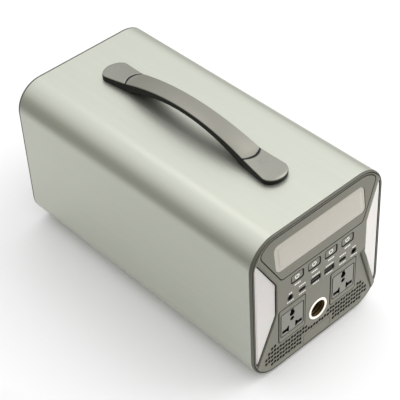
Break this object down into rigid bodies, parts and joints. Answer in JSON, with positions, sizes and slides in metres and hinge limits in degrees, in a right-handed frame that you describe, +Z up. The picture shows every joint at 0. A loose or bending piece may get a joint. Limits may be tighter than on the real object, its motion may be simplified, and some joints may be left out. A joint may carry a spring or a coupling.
{
  "type": "portable power station",
  "caption": "Portable power station in a rounded metal sleeve, with a faceted front panel of sockets, ports, buttons, display and side lights, a rear fan and a fixed arched carrying handle.",
  "frame": {"origin": "centre of the bounding box on the surface that the feet stand on", "axes": "X across the front, +Y from the front panel to the rear along the case's length, +Z up"},
  "size_m": [0.198, 0.392, 0.229],
  "materials": {
    "anodised": "satin anodised, pale champagne green",
    "panel_grey": "fine matt texture, warm grey",
    "trim_grey": "fine matt texture, dark grey",
    "window": "smoked beige, smooth",
    "diffuser": "translucent white",
    "cream": "smooth cream",
    "black_plastic": "matt black",
    "handle_skin": "satin warm grey",
    "rubber": "matt black rubber",
    "steel": "plain steel",
    "plain_aluminium": "plain mill finish",
    "copper": "enamelled copper winding",
    "circuit_board": "green solder mask",
    "cell_wrap": "blue film on an aluminium can"
  },
  "bodies": {
    "case": {"case_sleeve": "anodised", "front_panel": "panel_grey", "display_frame": "panel_grey", "ac_socket_left": "panel_grey", "ac_socket_right": "panel_grey", "rear_panel": "panel_grey", "front_trim_ring": "trim_grey", "rear_trim_ring": "trim_grey", "fan_grille": "trim_grey", "display_window": "window", "light_diffuser_left": "diffuser", "light_diffuser_right": "diffuser", "car_socket": "cream", "lcd_module": "black_plastic", "dc_jack_left": "black_plastic", "dc_jack_right": "black_plastic", "handle_core": "black_plastic", "ac_inlet": "black_plastic", "fan_frame": "black_plastic", "busbar_cover": "black_plastic", "handle_grip_cover": "handle_skin", "handle_cap_front": "handle_skin", "handle_cap_rear": "handle_skin", "foot_front_left": "rubber", "foot_front_right": "rubber", "foot_rear_left": "rubber", "foot_rear_right": "rubber", "usb_a_port_left": "steel", "usb_a_port_right": "steel", "usb_c_port_left": "steel", "usb_c_port_right": "steel", "car_socket_contact": "steel", "rear_screw_1": "steel", "rear_screw_2": "steel", "rear_screw_3": "steel", "rear_screw_4": "steel", "handle_screw_1": "steel", "handle_screw_2": "steel", "handle_screw_3": "steel", "handle_screw_4": "steel", "heatsink": "plain_aluminium", "cell_end_plate_left": "plain_aluminium", "cell_end_plate_right": "plain_aluminium", "chassis_tray": "plain_aluminium", "transformer": "copper", "led_board_left": "circuit_board", "led_board_right": "circuit_board", "button_board": "circuit_board", "port_board": "circuit_board", "bms_board": "circuit_board", "inverter_board": "circuit_board", "battery_cell_1": "cell_wrap", "battery_cell_2": "cell_wrap", "battery_cell_3": "cell_wrap", "battery_cell_4": "cell_wrap"},
    "button_1": {"output_button_1": "panel_grey"},
    "button_2": {"output_button_2": "panel_grey"},
    "button_3": {"output_button_3": "panel_grey"},
    "button_4": {"output_button_4": "panel_grey"},
    "fan": {"fan_rotor": "black_plastic"}
  },
  "joints": [
    {"name": "button_1_press", "type": "slide", "parent": "case", "child": "button_1", "axis": [0, 1, 0], "range_m": [0, 0.0008], "stiffness_N_per_m": 800},
    {"name": "button_2_press", "type": "slide", "parent": "case", "child": "button_2", "axis": [0, 1, 0], "range_m": [0, 0.0008], "stiffness_N_per_m": 800},
    {"name": "button_3_press", "type": "slide", "parent": "case", "child": "button_3", "axis": [0, 1, 0], "range_m": [0, 0.0008], "stiffness_N_per_m": 800},
    {"name": "button_4_press", "type": "slide", "parent": "case", "child": "button_4", "axis": [0, 1, 0], "range_m": [0, 0.0008], "stiffness_N_per_m": 800},
    {"name": "fan_spin", "type": "hinge", "parent": "case", "child": "fan", "pos_m": [0, 0.1797, 0.121], "axis": [0, 1, 0], "continuous": true}
  ]
}
